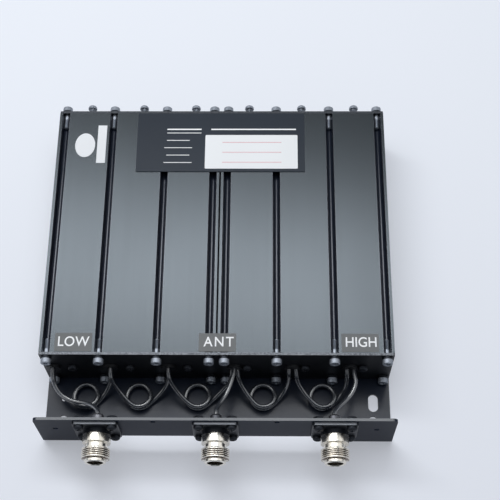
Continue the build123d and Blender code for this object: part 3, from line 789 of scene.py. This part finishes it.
# Body
class DUPLEXER_OT_body(Operator):
    """Finish of the extruded blocks and the end plates, with painted highlights and painted shade"""
    bl_idname = "duplexer.body"
    bl_label = "Body"

    def execute(self, context):
        values = context.scene.duplexer_body
        block, tree, shader = new_material("anodised_block", Specular_IOR_Level=0.5)
        lines = use_group(tree, "draw_lines", Spacing=0.6)
        marks = use_group(tree, "handling_marks", Amount=1.0)
        grooves = use_group(tree, "groove_masks")
        pale = lighter(values.block_colour, 1.06)
        face = blend_colours(tree, lines.outputs["Tone"], values.block_colour, pale)
        face = blend_colours(tree, calculate(tree, "MULTIPLY", marks.outputs["Dust"], 0.10), face,
                             (0.35, 0.36, 0.38))
        # Painted highlight along the grooves' lips
        face = blend_colours(tree, grooves.outputs["Lip Highlights"], face, values.lip_highlight_colour)
        # Painted shade deep in the grooves
        face = blend_colours(tree, grooves.outputs["Shaded Depths"], face, values.groove_shade_colour)
        # Painted shade along the middle joint
        face = blend_colours(tree, grooves.outputs["Joint"], face, values.joint_shade_colour)
        join(tree, face, shader.inputs["Base Color"])
        rough = calculate(tree, "MULTIPLY_ADD", marks.outputs["Wipes"], 0.018, values.block_roughness)
        rough = calculate(tree, "MULTIPLY_ADD", grooves.outputs["Shaded Depths"], -0.05, rough)
        join(tree, rough, shader.inputs["Roughness"])
        join(tree, calculate(tree, "MULTIPLY_ADD", grooves.outputs["Shaded Depths"], -0.65, values.block_metal),
             shader.inputs["Metallic"])
        raise_bump(tree, shader, lines.outputs["Height"], values.draw_depth, 0.01 * mm)
        dress(["cavity_block_left", "cavity_block_right"], block)

        plate, tree, shader = new_material("anodised_plate", Metallic=0.8)
        grain = use_group(tree, "coat_grain", Size=0.8)
        marks = use_group(tree, "handling_marks", Amount=1.0)
        parts = split_point(tree)
        # Painted highlight along the plates' upper edge, ragged by noise
        rim = remap(tree, parts.outputs["Z"], 39.8 * mm, 39.95 * mm, 0.0, 1.0)
        face = blend_colours(tree, calculate(tree, "MULTIPLY", marks.outputs["Dust"], 0.12),
                             values.plate_colour, (0.3, 0.31, 0.33))
        ragged = remap(tree, noise(tree, object_point(tree), 900.0, 4.0), 0.35, 0.6, 0.25, 1.0)
        # The painted highlight weakens towards the rear plate
        rim = calculate(tree, "MULTIPLY", rim, remap(tree, parts.outputs["Y"], 0.0, 154 * mm, 1.0, 0.3))
        paint(tree, shader, calculate(tree, "MULTIPLY", rim, ragged), face, values.rim_highlight_colour)
        join(tree, calculate(tree, "MULTIPLY_ADD", marks.outputs["Wipes"], 0.08, 0.40),
             shader.inputs["Roughness"])
        raise_bump(tree, shader, grain.outputs["Height"], 0.10)
        dress(["front_end_plate", "rear_end_plate"], plate)
        return {"FINISHED"}


class DUPLEXER_OT_bracket(Operator):
    """Powder coat of the folded bracket, with a painted highlight on the flange's top edge"""
    bl_idname = "duplexer.bracket"
    bl_label = "Bracket"

    def execute(self, context):
        values = context.scene.duplexer_body
        coat, tree, shader = new_material("bracket_coat", Roughness=values.bracket_roughness,
                                          Specular_IOR_Level=0.07, Coat_Roughness=0.24)
        grain = use_group(tree, "coat_grain", Size=1.3)
        marks = use_group(tree, "handling_marks", Amount=1.0)
        parts = split_point(tree)
        # Painted highlight along the flange's upper edge; the same mask also raises the coat
        rim = remap(tree, parts.outputs["Z"], 40.9 * mm, 41.15 * mm, 0.0, 1.0)
        face = blend_colours(tree, calculate(tree, "MULTIPLY", marks.outputs["Wipes"], 0.25),
                             values.bracket_colour, (0.007, 0.009, 0.014))
        face = blend_colours(tree, calculate(tree, "MULTIPLY", marks.outputs["Dust"], 0.03), face,
                             (0.4, 0.41, 0.43))
        paint(tree, shader, rim, face, values.rim_highlight_colour)
        base = remap(tree, parts.outputs["Z"], 1.5 * mm, 3.0 * mm, values.base_gloss, 0.0)
        join(tree, calculate(tree, "MAXIMUM", base, rim), shader.inputs["Coat Weight"])
        raise_bump(tree, shader, grain.outputs["Height"], values.bracket_grain, 0.03 * mm)
        dress(["mounting_bracket"], coat)
        return {"FINISHED"}


# Screws
CAP_HEAD = 3.0 * mm
PAN_HEAD = 2.4 * mm


def black_steel(values, name="worn_steel", shade=None):
    """Blackened steel, made once under each name; none of the CAD's materials may have that name."""
    made = bpy.data.materials.get(name)
    if made:
        return made
    shade = shade or values.head_colour
    made, tree, shader = new_material(name, Metallic=0.75)
    grain = use_group(tree, "coat_grain", Size=0.7)
    marks = use_group(tree, "handling_marks", Amount=1.0)
    wear_and_highlight = lighter(shade, 1.5)
    paint(tree, shader, marks.outputs["Wipes"], shade, wear_and_highlight)
    join(tree, calculate(tree, "MULTIPLY_ADD", marks.outputs["Wipes"], 0.12, values.head_roughness),
         shader.inputs["Roughness"])
    raise_bump(tree, shader, grain.outputs["Height"], 0.15)
    return made


def scaled(rows):
    """Rows given in millimetres; a radius that follows the angle is in metres already."""
    return [(reach if callable(reach) else reach * mm, height * mm) for reach, height in rows]


def on_axis(corners, y, outward, turn=0.0):
    """Place at y on the axis of a solid that has these corners, turned about that axis."""
    low, high = corners
    return facing((low.x + high.x) / 2, y, (low.z + high.z) / 2, outward) @ Matrix.Rotation(turn, 4, "Z")


def cap_shank_rows():
    """The shank of a socket cap screw, threaded over the half away from its head."""
    shank, half_way = 1.5 * mm, -5.6 * mm
    rows = scaled([(0.9, -12.0), (1.3, -11.7)])
    rows += thread_rows(shank, 0.27 * mm, 0.5 * mm, -11.6 * mm, half_way, 4)
    return rows + [(shank, half_way), (shank, 0.1 * mm)]


def cap_head_rows(teeth):
    """The head of a socket cap screw from its seat to the floor of its socket."""
    head, edge, top = 2.95, 0.25, 3.0
    knurled = knurl_radius(head * mm, 0.06 * mm, teeth)
    mouth, socket = hexagon_radius(1.32 * mm), hexagon_radius(1.25 * mm)
    return scaled([(head - edge, 0.0), (head, edge), (knurled, edge * 1.4), (knurled, 2.35),
                   (head - 0.05, 2.5), (head - 0.1, 2.75), (head - 0.35, 2.97), (head - 0.55, top),
                   (1.75, top), (mouth, 2.94), (socket, 2.8), (socket, 1.45), (0.6, 1.3), (0.05, 1.25)])


def pan_screw_rows(shank_length):
    """A pan-head cross-recess screw from the tip of its shank to the bottom of its recess."""
    shank, head, rim, crown = 1.5 * mm, 2.8 * mm, 0.8 * mm, 1.6 * mm
    rows = [(0.9 * mm, -shank_length), (1.25 * mm, -shank_length + 0.25 * mm)]
    rows += thread_rows(shank, 0.27 * mm, 0.5 * mm, -shank_length + 0.3 * mm, -0.3 * mm, 5)
    rows += [(shank, 0.0), (head - 0.15 * mm, 0.0), (head, 0.12 * mm), (head, rim)]
    for step in range(1, 8):
        angle = radians(90 * step / 8)
        rows.append((head - crown * (1 - cos(angle)), rim + crown * sin(angle)))
    return rows + scaled([(cross_radius(1.65 * mm, 0.50 * mm), 2.33),
                          (cross_radius(1.55 * mm, 0.42 * mm), 2.22),
                          (cross_radius(1.05 * mm, 0.36 * mm), 1.35), (0.25, 1.15), (0.03, 1.1)])


def nut_rows():
    """A hexagon nut with the corners of both faces turned off."""
    flats, bore, face, height, corner = 2.75, 1.56, 2.62, 2.4, 3.05

    def turned(limit):
        shape = hexagon_radius(flats * mm)
        return lambda angle: min(shape(angle), limit * mm)
    return scaled([(bore, 0.0), (face, 0.0), (turned(flats), 0.05), (turned(corner), 0.28),
                   (turned(4.0), 0.34), (turned(4.0), height - 0.34), (turned(corner), height - 0.28),
                   (turned(flats), height - 0.05), (face, height), (bore + 0.2, height),
                   (bore, height - 0.2), (bore, 0.0)])


def build_pan_screws(name, node, shank_length, material, turn):
    """Pan-head screws that face the front, in place of a CAD node's."""
    screws = TurnedMesh()
    rows = pan_screw_rows(shank_length)
    for number, corners in enumerate(solid_boxes(node)):
        screws.add(rows, on_axis(corners, corners[0].y + PAN_HEAD, -1, number * turn), 48)
    screws.build(name, [material], replaced=[node])


def build_nuts(name, node, material, turn):
    """Hexagon nuts that face the rear, in place of a CAD node's."""
    nuts = TurnedMesh()
    for number, corners in enumerate(solid_boxes(node)):
        nuts.add(nut_rows(), on_axis(corners, corners[0].y, 1, number * turn), 48, close_start=False,
                 close_end=False)
    nuts.build(name, [material], replaced=[node])


class DUPLEXER_OT_plate_screws(Operator):
    """Cap screws, washers and pan screws of the end plates"""
    bl_idname = "duplexer.plate_screws"
    bl_label = "End plate screws"

    def execute(self, context):
        values = context.scene.duplexer_hardware
        steel = black_steel(values)
        screws = TurnedMesh()
        rows = cap_head_rows(values.head_teeth)
        for number, (low, high) in enumerate(solid_boxes("plate_screws")):
            outward = -1 if low.y < 0 else 1
            seat = low.y + CAP_HEAD if outward < 0 else high.y - CAP_HEAD
            screws.add(rows, on_axis((low, high), seat, outward, number * 0.7), 3 * values.head_teeth)
            screws.add(cap_shank_rows(), on_axis((low, high), seat, outward), 24)
        screws.build("plate_cap_screws", [steel], replaced=["plate_screws"], angle=28)

        dark = black_steel(values, "dark_steel", values.dark_colour)
        build_pan_screws("rod_pan_screws", "resonator_screws", 10.0 * mm, dark, 0.5)
        dress(["plate_washers", "bracket_screws"], dark)
        return {"FINISHED"}


class DUPLEXER_OT_tuning_screws(Operator):
    """Tuning screws and lock nuts at the rear"""
    bl_idname = "duplexer.tuning_screws"
    bl_label = "Tuning screws"

    def execute(self, context):
        steel = black_steel(context.scene.duplexer_hardware)
        rows = pan_screw_rows(30.0 * mm)
        for number in CAVITIES:
            node = f"tuning_screw_{number}"
            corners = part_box(node)
            screw = TurnedMesh()
            screw.add(rows, on_axis(corners, corners[1].y - PAN_HEAD, 1, number * 0.9), 32)
            screw.build(f"{node}_threaded", [steel], f"tuner_{number}", [node])
        build_nuts("tuning_lock_nuts_chamfered", "tuning_lock_nuts", steel, 0.4)
        return {"FINISHED"}


# Jacks
FLANGE_FACE = -38.5 * mm


def jack_rows():
    """A jack shell from the end of its tail round to the back of its bore, and which rows are black."""
    plate, bevel = square_radius(12.7 * mm, 2.0 * mm), square_radius(12.45 * mm, 1.8 * mm)
    rows = scaled([(1.15, -6.0), (2.1, -6.0), (2.2, -5.9), (2.2, -3.6), (5.25, -3.6), (5.4, -3.45),
                   (5.4, 0.0), (plate, 0.0), (plate, 1.35), (bevel, 1.6), (7.83, 1.6), (7.83, 4.3)])
    black_rows = range(5, len(rows))
    rows += scaled([(7.85, 4.35), (7.85, 8.7), (7.7, 8.9), (6.4, 8.9), (6.2, 9.1), (6.2, 11.7),
                    (6.3, 11.8), (7.3, 11.85)])
    rows += thread_rows(7.94 * mm, 0.62 * mm, 1.058 * mm, 12.1 * mm, 17.5 * mm, 8)
    rows += scaled([(7.3, 17.7), (5.6, 17.7), (5.5, 17.8), (5.5, 18.15), (5.6, 18.2), (5.85, 18.2),
                    (6.0, 18.35), (6.0, 19.45), (5.6, 19.85), (5.4, 19.9), (4.85, 19.9), (4.45, 19.5),
                    (4.45, 10.5), (3.7, 10.5)])
    return rows, black_rows


class DUPLEXER_OT_jacks(Operator):
    """Coaxial jacks, their contacts, ferrules, screws and nuts"""
    bl_idname = "duplexer.jacks"
    bl_label = "Jacks"

    def execute(self, context):
        values = context.scene.duplexer_hardware
        nickel = self.bright_nickel(values)
        black = self.black_plate(values)
        rows, black_rows = jack_rows()
        for name in PORTS:
            shell = TurnedMesh()
            shell.add(rows, on_axis(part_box(f"jack_shell_{name}"), FLANGE_FACE, -1), 144,
                      lambda row: int(row in black_rows), close_start=False, close_end=False)
            shell.build(f"jack_{name}_threaded", [nickel, black],
                        replaced=[f"jack_shell_{name}"], angle=28)
        gilt = two_tone("gilt_contact", "Wipes", values.contact_colour, (0.60, 0.40, 0.15), Metallic=1.0,
                        Roughness=0.25)
        polymer = two_tone("insulator_polymer", "Specks", values.insulator_colour, (0.16, 0.158, 0.15),
                           share=0.2, bump=0.05, Roughness=0.5)
        sleeve = two_tone("ferrule_black", "Wipes", values.ferrule_colour, (0.20, 0.20, 0.22),
                          grain_size=0.9, bump=0.10, Metallic=0.9, Roughness=0.42)
        for piece, material in (("jack_contact", gilt), ("jack_insulator", polymer),
                                ("crimp_ferrule", sleeve)):
            dress([f"{piece}_{name}" for name in PORTS], material)

        steel = black_steel(values, "dark_steel", values.dark_colour)
        build_pan_screws("jack_pan_screws", "jack_screws", 6.0 * mm, steel, 0.6)
        build_nuts("jack_nuts_chamfered", "jack_nuts", steel, 0.5)
        return {"FINISHED"}

    def bright_nickel(self, values):
        made, tree, shader = new_material("bright_nickel", Metallic=1.0)
        marks = use_group(tree, "handling_marks", Amount=1.0)
        warm = (values.nickel_colour[0], values.nickel_colour[1] * 0.96, values.nickel_colour[2] * 0.88)
        face = blend_colours(tree, calculate(tree, "MULTIPLY", marks.outputs["Wipes"], 0.6),
                             values.nickel_colour, warm)
        # Painted shade, with a brown tarnish tint, in the thread roots and bores
        paint(tree, shader, self.shaded_thread_roots(tree), face, values.root_shade_colour)
        join(tree, calculate(tree, "MULTIPLY_ADD", marks.outputs["Wipes"], 0.10, values.nickel_roughness),
             shader.inputs["Roughness"])
        lathe = noise(tree, object_point(tree), 1.0, 2.0, (60, 5200, 60))
        raise_bump(tree, shader, lathe, 0.04, 0.01 * mm)
        return made

    def shaded_thread_roots(self, tree):
        """Mask of painted shade and brown tarnish in the roots of the jacks' threads and inside their
        bores.
        """
        parts = split_point(tree)
        aside = nearest_distance(tree, parts.outputs["X"],
                                 [node_centre(f"jack_shell_{name}").x for name in PORTS])
        above = calculate(tree, "SUBTRACT", parts.outputs["Z"], node_centre("jack_shell_low").z)
        radius = calculate(tree, "SQRT", calculate(
            tree, "MULTIPLY_ADD", aside, aside, calculate(tree, "MULTIPLY", above, above)))
        root = remap(tree, radius, 7.40 * mm, 7.80 * mm, 1.0, 0.0)
        start, end = -50.4 * mm, -56.2 * mm
        threaded = calculate(tree, "MULTIPLY", calculate(tree, "LESS_THAN", parts.outputs["Y"], start),
                             calculate(tree, "GREATER_THAN", parts.outputs["Y"], end))
        # Painted shade inside the bores, growing away from the mouth
        bore = calculate(tree, "MULTIPLY", calculate(tree, "LESS_THAN", radius, 4.6 * mm),
                         remap(tree, parts.outputs["Y"], -58.2 * mm, -55.5 * mm, 0.0, 0.35))
        return calculate(tree, "MAXIMUM", calculate(tree, "MULTIPLY", root, threaded), bore)

    def black_plate(self, values):
        made, tree, shader = new_material("jack_plate_black", Metallic=0.6, Roughness=0.38)
        grain = use_group(tree, "coat_grain", Size=0.9)
        face = blend_colours(tree, calculate(tree, "MULTIPLY", grain.outputs["Specks"], 0.3),
                             values.flange_colour, (0.10, 0.10, 0.12))
        parts = split_point(tree)
        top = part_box("jack_shell_low")[1].z
        # Painted highlight along the plates' upper edge
        rim = remap(tree, parts.outputs["Z"], top - 0.35 * mm, top - 0.1 * mm, 0.0, 1.0)
        paint(tree, shader, rim, face, values.edge_highlight_colour)
        raise_bump(tree, shader, grain.outputs["Height"], 0.12)
        return made


# Pieces inside the cavities, and the taps
class DUPLEXER_OT_inner_parts(Operator):
    """Resonator rods, coupling loops and tap bushings"""
    bl_idname = "duplexer.inner_parts"
    bl_label = "Inner parts"

    def execute(self, context):
        silver, tree, shader = new_material("silvered_rod", Metallic=1.0, Roughness=0.28)
        lines = use_group(tree, "draw_lines", Spacing=0.5)
        bright, tarnished = (0.72, 0.71, 0.67), (0.60, 0.58, 0.52)
        paint(tree, shader, lines.outputs["Tone"], bright, tarnished)
        raise_bump(tree, shader, lines.outputs["Height"], 0.1, 0.01 * mm)
        copper = two_tone("copper_wire", "Wipes", (0.64, 0.29, 0.16), (0.42, 0.18, 0.09), Metallic=1.0,
                          Roughness=0.32)
        black = two_tone("tap_bushing_black", "Specks", (0.016, 0.017, 0.020), (0.06, 0.06, 0.07),
                         share=0.4, bump=0.15, Metallic=0.4, Roughness=0.45)
        for piece, material in (("resonator_rod", silver), ("coupling_loop", copper),
                                ("tap_bushing", black)):
            dress([f"{piece}_{number}" for number in CAVITIES], material)
        return {"FINISHED"}


# Labels
def prism(outline, bottom, top, first=0):
    """Points and faces of a flat piece over an outline in X and Y; first is its first point's number."""
    count = len(outline)
    points = [(*point, bottom) for point in outline] + [(*point, top) for point in outline]
    faces = [[first + step for step in reversed(range(count))],
             [first + count + step for step in range(count)]]
    for step in range(count):
        after = (step + 1) % count
        faces.append([first + step, first + after, first + count + after, first + count + step])
    return points, faces


def flat_piece(name, points, faces, material, slot, replaced=()):
    mesh = bpy.data.meshes.new(name)
    mesh.from_pydata(points, [], faces)
    mesh.update()
    mesh.materials.append(material)
    return settle(bpy.data.objects.new(name, mesh), replaced=replaced)


def rounded_outline(centre, size, corner, steps=5):
    points = []
    for quadrant, (side_x, side_y) in enumerate(((1, 1), (-1, 1), (-1, -1), (1, -1))):
        middle = (centre[0] + side_x * (size[0] / 2 - corner), centre[1] + side_y * (size[1] / 2 - corner))
        for step in range(steps + 1):
            angle = radians(90 * quadrant + 90 * step / steps)
            points.append((middle[0] + corner * cos(angle), middle[1] + corner * sin(angle)))
    return points


class DUPLEXER_OT_labels(Operator):
    """Nameplate, port labels and stickers"""
    bl_idname = "duplexer.labels"
    bl_label = "Labels"

    def execute(self, context):
        values = context.scene.duplexer_labels
        ground = self.printed("nameplate_ground", values.plate_colour, 0.36, 0.16, 0.22)
        tape = self.printed("port_tape", values.tape_colour, 0.55, 0.3)
        paper = self.printed("sticker_paper", values.sticker_colour, 0.6, 0.1)
        field = self.printed("nameplate_field", values.field_colour, 0.5, 0.05)
        ink = self.printed("white_ink", values.ink_colour, 0.5, 0.05)
        dress(["oval_label", "number_label"], paper)

        self.nameplate(ground, field, ink, self.printed("red_rule", values.rule_colour, 0.5, 0.05))
        low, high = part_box("port_labels")
        middle, deep = (low.y + high.y) / 2, high.y - low.y
        # Each word with the middle of its tape, its letters' shift on the tape and their spacing
        words = ((values.low_text, -values.tape_side, 0.0, 1.06),
                 (values.antenna_text, 0.5 * mm, 0.8 * mm, 1.22),
                 (values.high_text, values.tape_side, 0.5 * mm, 1.0))
        rise, corner = 0.1 * mm, 0.4 * mm
        for word, place, shift, spread in words:
            outline = rounded_outline((place, middle), (values.tape_length, deep), corner)
            flat_piece(f"tape_{word.lower()}", *prism(outline, low.z, high.z), tape, "port_label",
                       ["port_labels"])
            self.letter(word, (place + shift, middle + rise, high.z + values.stroke), spread, values, ink)
        return {"FINISHED"}

    def nameplate(self, ground, field, ink, red):
        """A printed plate with a white field, both left blank but for plain rules."""
        dress(["nameplate"], ground)
        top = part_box("nameplate")[1].z
        field_top = top + 0.04 * mm
        outline = rounded_outline((18.7 * mm, 131.6 * mm), (56.3 * mm, 23.7 * mm), 0.6 * mm)
        flat_piece("nameplate_white_field", *prism(outline, top, field_top), field, "nameplate")
        bold, fine, faint = 0.9, 0.45, 0.35
        white = [(-22.5, 147.5, 21.0, bold), (-22.5, 144.9, 21.0, fine), (20.0, 147.5, 52.0, bold)]
        white += [(-26.0, 139.6 - 5.2 * row, 14.0 + 3.0 * (row % 2), fine) for row in range(4)]
        self.rules("nameplate_rules", white, top, ink)
        pale = [(19.0, 138.2 - 7.0 * row, 36.0, faint) for row in range(3)]
        self.rules("nameplate_field_rules", pale, field_top, red)

    def rules(self, name, bars, bottom, material):
        """Thin printed bars; each is a middle, a length and a width in millimetres."""
        points, faces, thickness = [], [], 0.03 * mm
        for x, y, long, wide in bars:
            outline = [((x + side * long / 2) * mm, (y + end * wide / 2) * mm)
                       for side, end in ((-1, -1), (1, -1), (1, 1), (-1, 1))]
            bar_points, bar_faces = prism(outline, bottom, bottom + thickness, len(points))
            points += bar_points
            faces += bar_faces
        flat_piece(name, points, faces, material, "nameplate")

    def letter(self, word, place, spread, values, ink):
        name = f"letters_{word.lower()}"
        text = bpy.data.curves.new(name, "FONT")
        text.body = word
        text.align_x, text.align_y = "CENTER", "CENTER"
        text.size = values.letter_height
        text.space_character = spread
        text.offset = values.stroke
        text.extrude = 0.02 * mm
        text.materials.append(ink)
        piece = bpy.data.objects.new(name, text)
        piece.location = place
        piece.scale.x = values.letter_width
        settle(piece)

    def printed(self, name, shade, roughness, contrast, gloss=0.5):
        made, tree, shader = new_material(name, Roughness=roughness, Specular_IOR_Level=gloss)
        grain = use_group(tree, "coat_grain", Size=0.8)
        marks = use_group(tree, "handling_marks", Amount=1.0)
        pale = lighter(shade, 1 + contrast)
        mask = calculate(tree, "MAXIMUM", grain.outputs["Specks"], marks.outputs["Wipes"])
        paint(tree, shader, mask, shade, pale)
        raise_bump(tree, shader, grain.outputs["Height"], 0.06)
        return made


class DUPLEXER_PT_panel(Panel):
    """Steps that dress the duplexer"""
    bl_label = "Cavity Duplexer"
    bl_idname = "DUPLEXER_PT_panel"
    bl_space_type = "VIEW_3D"
    bl_region_type = "UI"
    bl_category = "Duplexer"

    def draw(self, context):
        layout = self.layout
        for step in steps:
            layout.operator(step.bl_idname)
        for name in ("duplexer_body", "duplexer_hardware", "duplexer_leads", "duplexer_labels",
                     "duplexer_stage"):
            box = layout.box()
            values = getattr(context.scene, name)
            for key in values.bl_rna.properties.keys():
                if key not in {"rna_type", "name"}:
                    box.prop(values, key)


groups = {
    "duplexer_body": DuplexerBodyFinish,
    "duplexer_hardware": DuplexerHardware,
    "duplexer_leads": DuplexerLeads,
    "duplexer_labels": DuplexerLabels,
    "duplexer_stage": DuplexerStage,
}
steps = (DUPLEXER_OT_stage, DUPLEXER_OT_leads, DUPLEXER_OT_body, DUPLEXER_OT_bracket,
         DUPLEXER_OT_plate_screws, DUPLEXER_OT_tuning_screws, DUPLEXER_OT_jacks,
         DUPLEXER_OT_inner_parts, DUPLEXER_OT_labels)


def register():
    for group in groups.values():
        bpy.utils.register_class(group)
    for step in (*steps, DUPLEXER_PT_panel):
        bpy.utils.register_class(step)
    for name, group in groups.items():
        setattr(bpy.types.Scene, name, PointerProperty(type=group))


def unregister():
    for name in groups:
        delattr(bpy.types.Scene, name)
    for made in (DUPLEXER_PT_panel, *reversed(steps), *reversed(groups.values())):
        bpy.utils.unregister_class(made)


def main():
    register()
    build_groups()
    for step in steps:
        getattr(bpy.ops.duplexer, step.bl_idname.split(".")[1])()


if __name__ == "__main__":
    main()
